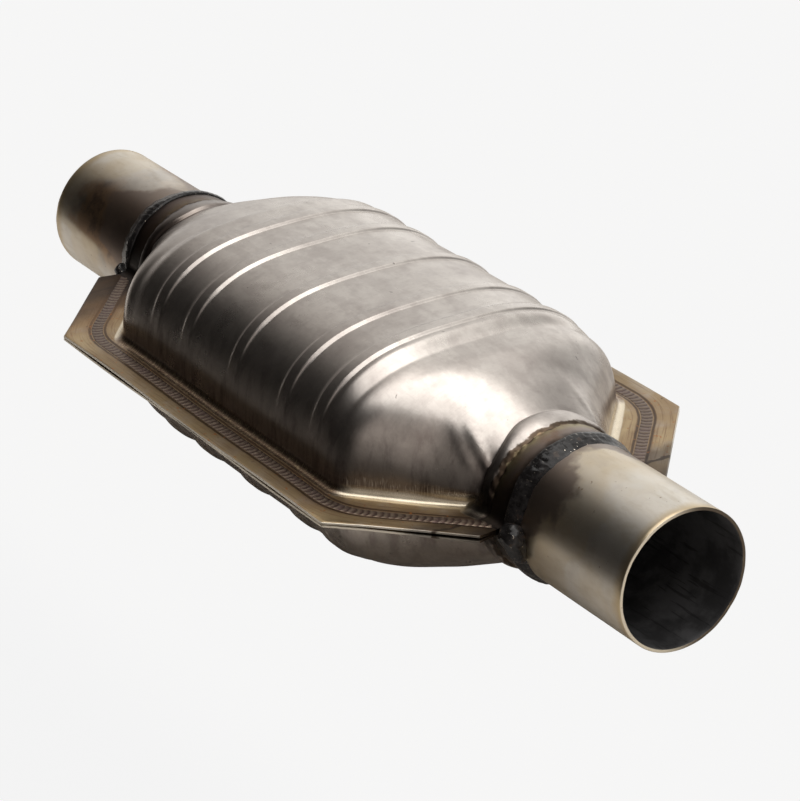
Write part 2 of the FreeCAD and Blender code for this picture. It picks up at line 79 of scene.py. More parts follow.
# The can's form, in millimetres, as the solids have it.
CAN_END = 94.9
CAN_SQUARENESS = 2.75
CONE_SLOPE = 0.927
CONE_CORNER = 5.0
SHOULDER_TOP = 79.0
SHOULDER_FOOT = 89.0
SHOULDER_DROP = 3.8
BAND_DROP = 1.0
BAND_LENGTH = 8.5
CONE_CROWN = 97.5
CONE_FULLNESS = 1.45
WAIST = 136.756
WAIST_RADIUS = 34.2
COLLAR_START = 139.256
COLLAR_END = 148.256
COLLAR_RADIUS = 35.4
COLLAR_FALL = 1.5
NECK_START = 149.506
NECK_END = 160.506
NECK_RADIUS = 33.2
BEADS = (-64.5, -37.5, 4.0, 45.5, 72.5)
BEAD_LOW = 14.0
BEAD_HIGH = 40.0
BEND_RADIUS = 4.0
NECK_BEND_RADIUS = 5.0

# How the pressed sheet departs from that form: zones are start, full, fading and end along the axis.
PINCH = 5.0
PINCH_ZONE = (116, 138, 140, 151.5)
TORN_ZONE = (146.6, 148.2, 150.0, 151.5)
TORN_HEIGHT = 0.16
CONE_SWELL = 0.22
WRINKLE_WIDTH = 2.3
WRINKLES = ((124.0, 43.0, 137.0, 29.0, 0.4), (127.0, 49.0, 143.0, 33.0, 0.65))
UPPER_OPENED = 1.7
LOWER_OPENED = -0.5

# The flange's outline, its trimmed lip and its rolled seam, in millimetres.
FLANGE_SIDE = 93.5
FLANGE_CORNER = 113.3
FLANGE_TIP = (163.006, 48.0)
LIP_INSET = 0.4
LIP_DROP = 0.25
LIP_BACK = 0.27
SEAM_DEPTH = 0.25
SEAM_SIDE = 82.25
SEAM_CORNER = 106.5
SEAM_RADIUS = 38.0
SEAM_TURN = math.atan(CONE_SLOPE)
SEAM_STRAIGHT = SEAM_CORNER - SEAM_RADIUS * math.tan(SEAM_TURN / 2)
SEAM_KNEE = SEAM_STRAIGHT + SEAM_RADIUS * SEAM_TURN
SEAM_KNEE_X = SEAM_STRAIGHT + SEAM_RADIUS * math.sin(SEAM_TURN)
SEAM_LENGTH = SEAM_KNEE + (160.0 - SEAM_KNEE_X) / math.cos(SEAM_TURN)
NUGGET_STEP = 0.33

# Spacing and counts of the shells' sections: a zone is its middle, its reach each way and its step.
SECTION_STEP = 1.7
BEAD_REACH = 5.6
BEAD_STEP = 0.5
FINE_ZONES = ((147.0, 14.0, 13.55, 0.62), (86.0, 9.0, 9.0, 1.0))
WALL_ROWS, BEND_ROWS, FLAT_ROWS = 100, 8, 13

# The pipes and welds, in millimetres.
PIPE_START = 141.506
PIPE_END = 237.456
RIM_BREAK = 0.3
OUTSIDE_ROWS, INSIDE_ROWS, PIPE_SEGMENTS = 56, 40, 288
WELD_START = 159.4
WELD_TOE = 169.1
WELD_ROWS, WELD_SEGMENTS = 22, 540
WELD_SCALE = 3.1
LUMP_PLACE = (167.2, 34.6, -1.0)
LUMP_RADIUS = 6.0
LUMP_TOP = 6.5
LUMP_FOOT = 12.0
LUMP_LEAN = (2.0, -3.0)
LUMP_AROUND, LUMP_LEVELS = 72, 42
FAR_LUMP_SHARE = 0.6

# The stage, in millimetres, but for the softbox, which is in metres.
FLOOR_GAP = 0.1
FLOOR_HALF = 1500.0
BACKDROP_RADIUS = 3100.0
STAGE_SEGMENTS = 96
SOFTBOX_PLACE = (0.30, -0.10, 2.3)
SOFTBOX_SIZE = (3.0, 1.9)

# The camera that took the photograph, in the part's own frame.
CAMERA_PLACE = (1.147034, -0.715464, 0.646861)
CAMERA_AZIMUTH = math.radians(57.355)
CAMERA_ELEVATION = math.radians(26.074)
CAMERA_ROLL = math.radians(-1.3848)
CAMERA_FOCAL = 3297.17
IMAGE_HEIGHT = 801
SENSOR = 36.0


def length(name, description, default):
    """A property for a length in metres."""
    return FloatProperty(name=name, description=description, default=default, unit="LENGTH",
                         subtype="DISTANCE", precision=5)


def colour(name, description, default):
    """A property for a colour."""
    return FloatVectorProperty(name=name, description=description, default=default, size=3,
                               subtype="COLOR", min=0, max=1)


class ConverterSizes(bpy.types.PropertyGroup):
    """Sizes of the sheet, the pipes and their small unevennesses."""
    sheet_wall: length("Sheet wall", "Thickness of the pressed sheet", 0.0013)
    can_half_width: length("Can half width", "From the pipe axis to the can's side", 0.073)
    can_half_height: length("Can half height", "From the seam plane to the crown", 0.0528)
    bead_height: length("Bead height", "How far each pressed bead stands up", 0.0010)
    bead_half_width: length("Bead half width", "Half of a bead's width on the crown", 0.005)
    sheet_wave: length("Sheet wave", "Uneven swell of the pressed sheet", 0.00011)
    flange_wave: length("Flange wave", "Uneven lie of the flange", 0.00035)
    nugget_pitch: length("Nugget pitch", "Distance between two seam nuggets", 0.003)
    nugget_height: length("Nugget height", "How far a seam nugget stands up", 0.00022)
    seam_half_width: length("Seam half width", "Half of the rolled seam's width", 0.00325)
    pipe_radius: length("Pipe radius", "Outer radius of a pipe stub", 0.03175)
    pipe_wall: length("Pipe wall", "Wall of a pipe stub", 0.0015)
    weld_crown: length("Weld crown", "How far a ring weld stands over the neck", 0.0010)


class ConverterColours(bpy.types.PropertyGroup):
    """Colours of the steel, its heat tints and the rest."""
    sheet: colour("Sheet", "Clean pressed sheet", (0.60, 0.56, 0.52))
    sheet_dull: colour("Dull sheet", "Cloudy stain on the sheet", (0.40, 0.36, 0.335))
    straw: colour("Straw tint", "Sheet warmed to straw gold", (0.50, 0.385, 0.22))
    brown: colour("Brown tint", "Sheet heated to brown", (0.17, 0.095, 0.05))
    olive: colour("Olive tint", "Sheet warmed to dull olive", (0.30, 0.25, 0.13))
    violet: colour("Violet tint", "Sheet heated to violet brown", (0.19, 0.145, 0.12))
    # The scale colour also paints shade low beside the necks.
    scale: colour("Scale", "Dark weld scale", (0.022, 0.017, 0.015))
    rust: colour("Rust", "Small rust spots", (0.33, 0.12, 0.03))
    pipe: colour("Pipe", "Clean drawn tube", (0.63, 0.595, 0.535))
    weld: colour("Weld", "Glassy weld skin", (0.010, 0.009, 0.009))
    bore: colour("Bore", "Sooty inside of a pipe", (0.05, 0.05, 0.052))
    ceramic: colour("Ceramic", "Honeycomb brick", (0.62, 0.55, 0.43))
    fibre: colour("Fibre", "Pressed mineral mat", (0.70, 0.66, 0.56))
    wire: colour("Wire", "Knitted wire seal", (0.42, 0.42, 0.42))
    floor: colour("Floor", "Pale studio floor", (0.76, 0.73, 0.69))


class ConverterStudio(bpy.types.PropertyGroup):
    """Strengths of the studio's lights."""
    overhead: FloatProperty(name="Overhead", description="Power of the large overhead softbox",
                            default=34.0, unit="POWER")
    sky: FloatProperty(name="Surround", description="Strength of the soft surround", default=1.0)
    backdrop: FloatProperty(name="Backdrop", description="Own light of the pale backdrop",
                            default=0.900)


def smooth_step(value, low, high):
    """Rises smoothly from 0 at low to 1 at high."""
    share = np.clip((value - low) / (high - low), 0, 1)
    return share * share * (3 - 2 * share)


def hump(value, start, full, fading, end):
    """Rises smoothly from start to full, and falls from fading to end."""
    return smooth_step(value, start, full) * (1 - smooth_step(value, fading, end))


def unevenness(points, seed, wavelength, waves=7):
    """Seeded smooth unevenness of about one unit over points."""
    draw = np.random.default_rng(seed)
    total = np.zeros(points.shape[:-1])
    for _ in range(waves):
        way = draw.normal(size=3)
        way *= TAU / (np.linalg.norm(way) * wavelength * draw.uniform(0.7, 1.5))
        total += np.sin(points @ way + draw.uniform(0, TAU))
    return total / math.sqrt(waves)


def full_turn(count):
    """Angles evenly spread round a whole turn."""
    return np.linspace(0, TAU, count, endpoint=False)


def grid_of(x, y, z):
    """Points from three coordinates, each spread over the same rows and columns."""
    return np.stack(np.broadcast_arrays(x, y, z), axis=-1)


def grid_normals(grid):
    """Unit normals of a grid of points, from its own rows and columns."""
    across = np.gradient(grid, axis=0)
    along = np.gradient(grid, axis=1)
    normals = np.cross(across, along)
    return normals / np.maximum(np.linalg.norm(normals, axis=-1, keepdims=True), 1e-9)


def grid_faces(rows, columns, start=0, wrap=False, close=False):
    """Four-sided faces of a grid, with its columns joined round by wrap and its rows by close."""
    row = np.arange(rows if close else rows - 1)[:, None]
    column = np.arange(columns if wrap else columns - 1)[None, :]
    after, below = (column + 1) % columns, (row + 1) % rows
    faces = np.stack([row * columns + column, row * columns + after,
                      below * columns + after, below * columns + column], axis=-1)
    return faces.reshape(-1, 4) + start


def add_object(name, data):
    """A mesh, lamp or camera as an object in the scene."""
    made = bpy.data.objects.new(name, data)
    bpy.context.scene.collection.objects.link(made)
    return made


def new_mesh(name, points, faces, finishes):
    """A smooth mesh in metres from points in millimetres."""
    mesh = bpy.data.meshes.new(name)
    mesh.from_pydata((np.asarray(points) * MM).tolist(), [], [list(face) for face in faces])
    for finish in finishes:
        mesh.materials.append(finish)
    mesh.shade_smooth()
    return mesh


def new_piece(name, points, faces, finishes, marks=None, face_finish=None, sharp=50):
    """A piece that rides on the part, with values marked on its points."""
    mesh = new_mesh(name, points, faces, finishes)
    mesh.validate()
    if face_finish is not None:
        mesh.polygons.foreach_set("material_index", np.asarray(face_finish, dtype=np.int32))
    for mark, values in (marks or {}).items():
        layer = mesh.attributes.new(mark, "FLOAT", "POINT")
        layer.data.foreach_set("value", np.asarray(values, dtype=np.float32).ravel())
    mesh.set_sharp_from_angle(angle=math.radians(sharp))
    piece = add_object(name, mesh)
    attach(piece, "root")
    return piece


class CanForm:
    """The can's pressed form, from its sizes in millimetres."""

    def __init__(self, sizes):
        self.wall = sizes.sheet_wall / MM
        self.width = sizes.can_half_width / MM
        self.height = sizes.can_half_height / MM
        self.bead_height = sizes.bead_height / MM
        self.bead_half_width = sizes.bead_half_width / MM

    def half_width(self, reach):
        """Half width of the can and its cones."""
        taper = self.width - (reach - CAN_END) * CONE_SLOPE
        share = np.clip(0.5 + 0.5 * (taper - self.width) / CONE_CORNER, 0, 1)
        return taper * (1 - share) + self.width * share - CONE_CORNER * share * (1 - share)

    def crown(self, reach):
        """Height of the can's crown, with its shoulder and cone."""
        top = self.height - SHOULDER_DROP * smooth_step(reach, SHOULDER_TOP, SHOULDER_FOOT)
        top = top - BAND_DROP * np.clip((reach - SHOULDER_FOOT) / BAND_LENGTH, 0, 1)
        fall = self.height - SHOULDER_DROP - BAND_DROP - WAIST_RADIUS
        lead = np.clip((reach - CONE_CROWN) / (WAIST - CONE_CROWN), 0, 1)
        return top - fall * lead ** CONE_FULLNESS

    def neck(self, reach):
        """Radius of the round end, with its collar."""
        share = np.clip((reach - COLLAR_START) / (COLLAR_END - COLLAR_START), 0, 1)
        rolled = COLLAR_RADIUS - COLLAR_FALL * share ** 2
        collar = WAIST_RADIUS + (rolled - WAIST_RADIUS) * smooth_step(reach, WAIST, COLLAR_START)
        return collar + (NECK_RADIUS - rolled) * smooth_step(reach, COLLAR_END, NECK_START)

    def bead(self, place):
        """Height of the pressed beads along the can, steeper toward the outlet."""
        rise = np.zeros_like(place)
        for centre in BEADS:
            share = (place - centre) / self.bead_half_width
            rise = np.maximum(rise, self.bead_height * hump(share, -1.0, -0.4, 0.60, 0.95))
        return rise

    def section(self, place):
        """Half width, half height and squareness of the section at each place."""
        reach = np.abs(place)
        round_end = self.neck(reach)
        blend = smooth_step(reach, SHOULDER_FOOT, WAIST)
        wide = np.where(reach >= WAIST, round_end, np.maximum(self.half_width(reach), WAIST_RADIUS))
        high = np.where(reach >= WAIST, round_end, self.crown(reach))
        square = np.where(reach >= WAIST, 2.0, CAN_SQUARENESS + (2 - CAN_SQUARENESS) * blend)
        return wide, high, square

    def bend(self, place):
        """Radius of the bend between wall and flange."""
        share = smooth_step(np.abs(place), CAN_END, WAIST)
        return BEND_RADIUS + (NECK_BEND_RADIUS - BEND_RADIUS) * share

    def wall_line(self, place, rows):
        """Points from one wall's foot over the crown to the other's, evenly spread, and the bend."""
        wide, high, square = (float(value) for value in self.section(np.array(place)))
        bend = float(self.bend(np.array(place)))
        up = (self.wall + bend) / high
        out = (1 - up ** square) ** (1 / square)
        lowest = math.atan2(up ** (square - 1) / high, out ** (square - 1) / wide)
        turn = np.linspace(lowest, math.pi - lowest, 6 * WALL_ROWS)
        across = (wide * np.abs(np.cos(turn))) ** (1 / (square - 1))
        rise = (high * np.sin(turn)) ** (1 / (square - 1))
        size = (across ** square + rise ** square) ** (1 / square)
        y = np.copysign(wide * across / size, np.cos(turn))
        z = high * rise / size
        lift = self.bead(np.array(place)) * smooth_step(z, BEAD_LOW, BEAD_HIGH)
        y, z = y * (1 + lift / wide), z * (1 + lift / high)
        run = np.concatenate([[0], np.cumsum(np.hypot(np.diff(y), np.diff(z)))])
        pace = 0.6 * run / run[-1] + 0.4 * (turn - lowest) / (turn[-1] - lowest)
        even = np.linspace(0, 1, rows)
        return np.stack([np.interp(even, pace, y), np.interp(even, pace, z)], axis=-1), bend


def flange_edge(x_edge):
    """Half width of the six-sided flange at a place along it."""
    reach = np.abs(x_edge)
    slant = (FLANGE_TIP[1] - FLANGE_SIDE) / (FLANGE_TIP[0] - FLANGE_CORNER)
    return np.where(reach <= FLANGE_CORNER, FLANGE_SIDE, FLANGE_SIDE + slant * (reach - FLANGE_CORNER))


def seam_place(x, y):
    """Distance from the seam's centre line, and the way along it, for points on the flange."""
    reach, side = np.abs(x) - SEAM_STRAIGHT, np.abs(y) - SEAM_SIDE + SEAM_RADIUS
    angle = np.arctan2(reach, side)
    sine, cosine = math.sin(SEAM_TURN), math.cos(SEAM_TURN)
    straight_or_turned = [angle <= 0, angle < SEAM_TURN]
    across = np.select(straight_or_turned, [side, np.hypot(reach, side)],
                       reach * sine + side * cosine) - SEAM_RADIUS
    along = np.select(straight_or_turned,
                      [reach + SEAM_STRAIGHT, SEAM_STRAIGHT + SEAM_RADIUS * angle],
                      SEAM_KNEE + reach * cosine - side * sine)
    return across, np.copysign(along, x)


def seam_point(along):
    """Place and outward direction on the seam's centre line, where x and y are positive."""
    angle = np.clip((along - SEAM_STRAIGHT) / SEAM_RADIUS, 0, SEAM_TURN)
    x = np.where(along < SEAM_STRAIGHT, along, SEAM_STRAIGHT + SEAM_RADIUS * np.sin(angle))
    y = SEAM_SIDE - SEAM_RADIUS * (1 - np.cos(angle))
    beyond = np.maximum(along - SEAM_KNEE, 0)
    return (x + beyond * math.cos(SEAM_TURN), y - beyond * math.sin(SEAM_TURN),
            np.sin(angle), np.cos(angle))


def can_stations():
    """Places of the sections, close together where the form changes fast."""
    fine = [(centre - BEAD_REACH, centre + BEAD_REACH, BEAD_STEP) for centre in BEADS]
    fine += [(side * middle - before, side * middle + beyond, step)
             for middle, before, beyond, step in FINE_ZONES for side in (-1, 1)]
    corner = FLANGE_CORNER * NECK_END / FLANGE_TIP[0]
    places = [-NECK_END]
    while places[-1] < NECK_END:
        close = [step for low, high, step in fine if low <= places[-1] < high]
        places.append(places[-1] + min([SECTION_STEP] + close))
    places = [place for place in places
              if place < NECK_END - 0.4 and abs(abs(place) - corner) > 0.5]
    return np.array(sorted(places + [-corner, corner, NECK_END]))


def wrinkle(skin):
    """Height of the pressing wrinkles that run down each cone into the pinch."""
    reach = np.abs(skin[..., 0])
    turn = np.arctan2(skin[..., 2], np.abs(skin[..., 1]))
    out = np.hypot(skin[..., 1], skin[..., 2])
    rise = np.zeros_like(reach)
    for start, first, end, last, high in WRINKLES:
        share = (reach - start) / (end - start)
        line = np.radians(first + (last - first) * share)
        fade = hump(share, -0.6, 0.3, 0.8, 1.15)
        rise += high * fade * np.exp(-((turn - line) * out / WRINKLE_WIDTH) ** 2)
    return rise


def flange_lie(points, reach, sizes):
    """How far the flange's sheets lie off the seam plane, dying out beside the necks."""
    wave = sizes.flange_wave / MM * unevenness(points * (1, 1, 0), 41, 95.0, waves=4)
    return wave * (1 - smooth_step(reach, 120, 150))


def half_section(form, place, edge_x, edge_y):
    """Points of one section, from flange edge over the can to the other flange edge."""
    wall_line, bend = form.wall_line(place, WALL_ROWS)
    mouth = wall_line[0, 0] + bend
    turn = np.linspace(0, TAU / 4, BEND_ROWS + 1)[:-1]
    curve = grid_of(place, wall_line[0, 0] + bend * (1 - np.sin(turn)),
                    form.wall + bend * (1 - np.cos(turn)))
    inset = 1 - LIP_INSET / math.hypot(edge_x - place, edge_y - mouth)
    share = np.concatenate([[1.0, inset], np.linspace(1, 0, FLAT_ROWS + 1)[1:-1]])
    flat = grid_of(place + share * (edge_x - place), mouth + share * (edge_y - mouth), form.wall)
    flat[0, 2] -= LIP_DROP
    side = np.concatenate([flat, curve])
    wall = np.column_stack([np.full(WALL_ROWS, place), wall_line])
    return np.concatenate([side, wall, side[::-1] * (1, -1, 1)])


def shell_skin(form, sizes, seed, opened):
    """Outer points of one pressed half with their normals, its flange's lie and its marks."""
    stations = can_stations()
    edge_x = stations * FLANGE_TIP[0] / NECK_END
    edge_y = flange_edge(edge_x)
    skin = np.array([half_section(form, *spot) for spot in zip(stations, edge_x, edge_y)])
    sideways = np.abs(skin[..., 1]) / np.hypot(skin[..., 1], skin[..., 2])
    pinch = PINCH * hump(np.abs(skin[..., 0]), *PINCH_ZONE)
    pinch = pinch * smooth_step(sideways, 0.25, 0.8) * smooth_step(skin[..., 2], 2, 9)
    skin[..., 0] += np.copysign(pinch, skin[..., 0])
    normals = grid_normals(skin)
    normals *= np.sign(normals[:, skin.shape[1] // 2, 2].mean())
    reach, height = np.abs(skin[..., 0]), skin[..., 2]
    swell = smooth_step(height, 5, 18) * (1 - smooth_step(reach, 118, 136))
    above = smooth_step(height, 3, 9)
    wave = sizes.sheet_wave / MM * swell * unevenness(skin, seed, 46.0)
    wave += TORN_HEIGHT * hump(reach, *TORN_ZONE) * unevenness(skin, seed + 1, 3.6) * above
    wave += wrinkle(skin) * above
    wave += CONE_SWELL * smooth_step(reach, 98, 110) * swell * unevenness(skin, seed + 2, 26.0)
    low = 1 - smooth_step(height, 3, 12)
    skin = skin + normals * wave[..., None]
    across, along = seam_place(skin[..., 0], skin[..., 1])
    on_flange, trim = np.zeros((2, *skin.shape[:2]))
    on_flange[:, :FLAT_ROWS + 1] = on_flange[:, -FLAT_ROWS - 1:] = 1
    trim[:, (0, -1)] = 1
    half = sizes.seam_half_width / MM
    track = SEAM_DEPTH * smooth_step(half + 0.6 - np.abs(across), 0, 1.2) * on_flange
    lie = flange_lie(skin, reach, sizes) * low
    lifted = smooth_step(skin[..., 0], 108, 130) * (skin[..., 1] < 0) * on_flange
    lie += opened * lifted * (np.clip(across - half, 0, 14) / 12) ** 1.5
    skin[..., 2] += lie - track
    marks = {"trim": trim, "seam_across": across, "seam_along": along, "on_flange": on_flange}
    return skin, normals, lie, marks


def press_shell(name, form, sizes, seed, upward, finish):
    """One pressed half: flange, bend, beaded wall, cones and half necks, with its real thickness."""
    opened = UPPER_OPENED if upward else LOWER_OPENED
    skin, normals, lie, marks = shell_skin(form, sizes, seed, opened)
    back = skin - normals * (form.wall - 0.02)
    for column in (0, -1):
        back[:, column, :2] = skin[:, column, :2]
        back[:, column, 2] = LIP_BACK + lie[:, column]
    rows, columns = skin.shape[:2]
    points = np.concatenate([skin.reshape(-1, 3), back.reshape(-1, 3)])
    count = rows * columns
    down, over = np.arange(rows - 1) * columns, np.arange(columns - 1)
    sheets = [grid_faces(rows, columns), grid_faces(rows, columns, count)[:, ::-1]]
    for first, step, flip in ((down, columns, False), (down + columns - 1, columns, True),
                              (over, 1, True), (over + (rows - 1) * columns, 1, False)):
        rim = np.stack([first, first + step, first + step + count, first + count], axis=-1)
        sheets.append(rim[:, ::-1] if flip else rim)
    faces = np.concatenate(sheets)
    if not upward:
        points, faces = points * (1, 1, -1), faces[:, ::-1]
    marks = {mark: np.tile(values.ravel(), 2) for mark, values in marks.items()}
    return new_piece(name, points, faces, [finish], marks)


def lay_seam(name, sizes, upward, finish):
    """The row of overlapping weld nuggets along both sides of one flange."""
    half = sizes.seam_half_width / MM
    pitch = sizes.nugget_pitch / MM
    high = sizes.nugget_height / MM
    wall = sizes.sheet_wall / MM
    along = np.arange(-SEAM_LENGTH, SEAM_LENGTH, NUGGET_STEP)
    share = np.linspace(-1, 1, 13)
    x, y, out_x, out_y = (value[:, None] for value in seam_point(np.abs(along)))
    x, out_x = np.copysign(x, along[:, None]), np.copysign(out_x, along[:, None])
    points, faces, marks = [], [], []
    for side in (-1, 1):
        across = share * (half - 0.35)
        grid = grid_of(x + out_x * across, (y + out_y * across) * side, 0.0)
        phase = along[:, None] / pitch + 0.35 * share ** 2 + 0.08 * unevenness(grid, 77, 11.0)
        scallop = 1 - (phase % 1.0) ** 1.5
        rise = np.sqrt(np.clip(1 - share ** 2, 0, 1))
        grain = 0.16 * unevenness(grid, 78, 1.9) * rise
        level = wall - 0.22 + rise * high * (0.45 + 0.75 * scallop + grain)
        level[:, (0, -1)] -= 0.12
        lie = flange_lie(grid, np.abs(grid[..., 0]), sizes)
        top, under = grid.copy(), grid.copy()
        top[..., 2] = level + lie
        under[..., 2] = wall - 0.6 + lie
        ring = np.concatenate([top, under[:, ::-1]], axis=1)
        start = sum(len(part) for part in points)
        rows, columns = ring.shape[:2]
        blocks = [grid_faces(rows, columns, start, wrap=True)]
        near, far = np.arange(len(share) - 1), columns - 1 - np.arange(len(share) - 1)
        cap = np.stack([near, near + 1, far - 1, far], axis=-1) + start
        blocks += [cap[:, ::-1], cap + (rows - 1) * columns]
        block = np.concatenate(blocks)
        points.append(ring.reshape(-1, 3))
        faces.append(block[:, ::-1] if (side > 0) != upward else block)
        marks.append(np.concatenate([scallop, np.zeros_like(scallop)], axis=1).ravel())
    points = np.concatenate(points) * (1, 1, 1 if upward else -1)
    return new_piece(name, points, np.concatenate(faces), [finish],
                     {"nugget": np.concatenate(marks)}, sharp=80)


def draw_pipe(name, sizes, side, seed, skin_finish, bore_finish):
    """One pipe stub: outer wall, softly broken rim and dark bore."""
    outer = sizes.pipe_radius / MM
    inner = outer - sizes.pipe_wall / MM
    broken = np.array([0.25, 0.6, 0.9])
    rim = PIPE_END - RIM_BREAK * (1 - broken) ** 1.6
    along = np.concatenate([np.linspace(PIPE_START, PIPE_END - RIM_BREAK, OUTSIDE_ROWS), rim,
                            rim[::-1], np.linspace(PIPE_END - RIM_BREAK, PIPE_START, INSIDE_ROWS)])
    radius = np.concatenate([np.full(OUTSIDE_ROWS, outer), outer - RIM_BREAK * broken,
                             inner + RIM_BREAK * broken[::-1], np.full(INSIDE_ROWS, inner)])
    angle = full_turn(PIPE_SEGMENTS)
    way = grid_of(0.0, np.cos(angle), np.sin(angle))
    grid = grid_of(along[:, None], radius[:, None] * way[:, 1], radius[:, None] * way[:, 2])
    grid = grid + way * (0.05 * unevenness(grid, seed, 55.0))[..., None]
    near_rim = smooth_step(grid[..., 0], PIPE_END - 1.2, PIPE_END)
    grid[..., 0] += near_rim * 0.10 * unevenness(way * outer, seed + 1, 9.0)
    grid[..., 0] = np.minimum(grid[..., 0], PIPE_END)
    rows, columns = grid.shape[:2]
    faces = grid_faces(rows, columns, wrap=True, close=True)
    bore = np.repeat(np.arange(rows) > OUTSIDE_ROWS + 4, columns)
    return new_piece(name, grid.reshape(-1, 3) * (side, 1, 1), faces[:, ::-1] if side > 0 else faces,
                     [skin_finish, bore_finish], face_finish=bore, sharp=40)


def lay_ring_weld(name, sizes, side, seed, finish):
    """The lumpy fillet bead that joins neck and pipe."""
    pipe = sizes.pipe_radius / MM
    angle = full_turn(WELD_SEGMENTS)
    circle = grid_of(0.0, np.cos(angle), np.sin(angle)) * NECK_RADIUS
    toe = WELD_TOE + 0.75 * unevenness(circle, seed, 17.0) + 0.25 * unevenness(circle, seed + 1, 4.0)
    heel = WELD_START + 0.45 * unevenness(circle, seed + 2, 13.0)
    share = np.linspace(0, 1, WELD_ROWS)[:, None]
    x = heel + (toe - heel) * share
    slope = NECK_RADIUS + 0.05 + (pipe - NECK_RADIUS - 0.1) * smooth_step(share, 0.12, 1.0)
    belly = sizes.weld_crown / MM * np.sin(math.pi * share ** 0.62) ** 0.8
    drawn = grid_of(x, circle[:, 1], circle[:, 2])
    beat = (angle * NECK_RADIUS / WELD_SCALE + 1.1 * (share - 0.45) ** 2
            + 0.25 * unevenness(drawn, seed + 3, 15.0))
    scale = 1 - (beat % 1.0) ** 1.7
    lumps = 0.24 * unevenness(drawn, seed + 4, 12.0) + 0.07 * unevenness(drawn, seed + 5, 2.4)
    radius = slope + belly * (0.9 + 0.14 * scale) + np.sin(math.pi * share) * lumps
    radius = np.maximum(radius, pipe - 0.25)
    x = np.concatenate([x, [toe - 0.4, (toe + heel) / 2, heel + 0.6]])
    radius = np.concatenate([radius, np.full((3, WELD_SEGMENTS), pipe - 0.4)])
    grid = grid_of(x, radius * np.cos(angle), radius * np.sin(angle))
    faces = grid_faces(len(grid), WELD_SEGMENTS, wrap=True, close=True)
    return new_piece(name, grid.reshape(-1, 3) * (side, 1, 1), faces[:, ::-1] if side > 0 else faces,
                     [finish], sharp=70)


def drop_lump(name, side, across, seed, share, finish):
    """A glossy drop of weld metal that closes the corner of flange, neck and pipe."""
    angle = full_turn(LUMP_AROUND)
    tilt = np.linspace(0, math.pi, LUMP_LEVELS + 2)[1:-1, None]
    way = grid_of(np.sin(tilt) * np.cos(angle), np.sin(tilt) * np.sin(angle), np.cos(tilt))
    low = np.clip(-way[..., 2], 0, 1)
    slim = LUMP_RADIUS * (1 - 0.34 * low ** 1.5)
    grid = way * grid_of(slim, slim, np.where(way[..., 2] > 0, LUMP_TOP, LUMP_FOOT))
    grid *= (1 + 0.055 * unevenness(grid, seed, 8.0) + 0.02 * unevenness(grid, seed + 1, 3.0))[..., None]
    grid[..., :2] += low[..., None] * LUMP_LEAN
    poles = [[0, 0, LUMP_TOP], [*LUMP_LEAN, -LUMP_FOOT]]
    points = np.concatenate([grid.reshape(-1, 3), poles]) * share + LUMP_PLACE
    points[:, 1] -= 4.0 * (1 - share)
    faces = grid_faces(LUMP_LEVELS, LUMP_AROUND, wrap=True).tolist()
    top = LUMP_LEVELS * LUMP_AROUND
    for k in range(LUMP_AROUND):
        after = (k + 1) % LUMP_AROUND
        faces.append([top, after, k])
        faces.append([top + 1, top - LUMP_AROUND + k, top - LUMP_AROUND + after])
    if side * across > 0:
        faces = [face[::-1] for face in faces]
    return new_piece(name, points * (side, across, 1), faces, [finish], sharp=80)


class Signal:
    """A shader socket that takes part in sums written in Python."""

    def __init__(self, recipe, socket):
        self.recipe = recipe
        self.socket = socket

    def sum_of(self, operation, *terms):
        """A Math node on these terms."""
        return self.recipe.node("ShaderNodeMath", {"operation": operation}, dict(enumerate(terms)))

    def __add__(self, other):
        return self.sum_of("ADD", self, other)

    def __sub__(self, other):
        return self.sum_of("SUBTRACT", self, other)

    def __rsub__(self, other):
        return self.sum_of("SUBTRACT", other, self)

    def __mul__(self, other):
        return self.sum_of("MULTIPLY", self, other)

    def __abs__(self):
        return self.sum_of("ABSOLUTE", self)

    __radd__ = __add__
    __rmul__ = __mul__

    def fold(self, size):
        """Runs up and down between 0 and size."""
        return self.sum_of("PINGPONG", self, size)

    def rise(self, low, high):
        """Rises smoothly from 0 at low to 1 at high."""
        return self.recipe.node("ShaderNodeMapRange", {"interpolation_type": "SMOOTHSTEP"},
                                {0: self, 1: low, 2: high})

    def fall(self, low, high):
        """Falls smoothly from 1 at low to 0 at high."""
        return 1 - self.rise(low, high)

    def hill(self, low, high, soft):
        """One between low and high, falling smoothly to 0 outside."""
        return self.rise(low - soft, low) * self.fall(high, high + soft)

    def stretched(self, *stretch):
        """A vector with each of its numbers scaled."""
        return self.recipe.node("ShaderNodeVectorMath", {"operation": "MULTIPLY"},
                                {0: self, 1: stretch})

    def clouds(self, grain, detail=3.0, rough=0.55, warp=0.0):
        """Soft noise over a place, with features of about grain millimetres."""
        return self.recipe.node("ShaderNodeTexNoise", None,
                                {"Vector": self, "Scale": 1 / grain, "Detail": detail,
                                 "Roughness": rough, "Distortion": warp})


